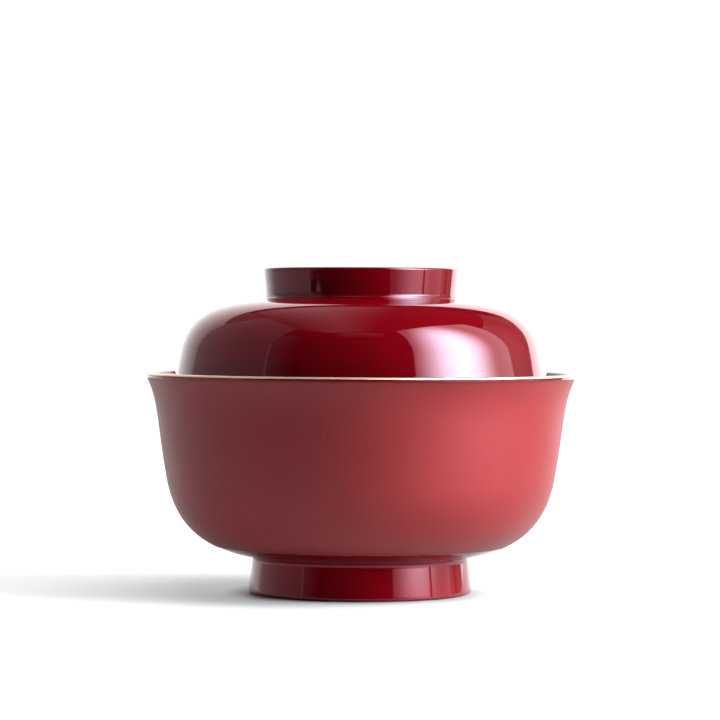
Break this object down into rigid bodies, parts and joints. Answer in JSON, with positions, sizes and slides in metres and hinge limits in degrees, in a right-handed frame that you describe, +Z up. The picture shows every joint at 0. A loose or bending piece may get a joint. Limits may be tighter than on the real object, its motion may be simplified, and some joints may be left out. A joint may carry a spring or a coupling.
{
  "type": "lidded rice bowl",
  "caption": "Round footed bowl with a flared, gold-edged lip, and a loose domed lid that seats inside the mouth and is lifted by a ring-shaped grip.",
  "frame": {"origin": "centre of the foot's flat base, on the axis of the bowl", "axes": "+Z up along the axis of revolution, from the foot to the lid; X and Y are any two level directions, as the object is round"},
  "size_m": [0.125, 0.125, 0.0942],
  "materials": {
    "satin_lacquer": "turned wood under satin red lacquer",
    "gloss_lacquer": "turned wood under mirror-gloss deep red lacquer",
    "gold_edge": "fine gold powder in lacquer, soft sheen"
  },
  "bodies": {
    "bowl": {"bowl_body": "satin_lacquer", "inner_lacquer_coat": "gloss_lacquer", "rim_gold_line": "gold_edge", "foot_ring": "gloss_lacquer"},
    "lid": {"lid_dome": "gloss_lacquer", "lid_grip_ring": "gloss_lacquer"}
  },
  "joints": [
    {"name": "lid_lift", "type": "slide", "parent": "bowl", "child": "lid", "axis": [0, 0, 1], "range_m": [0, 0.06]}
  ]
}
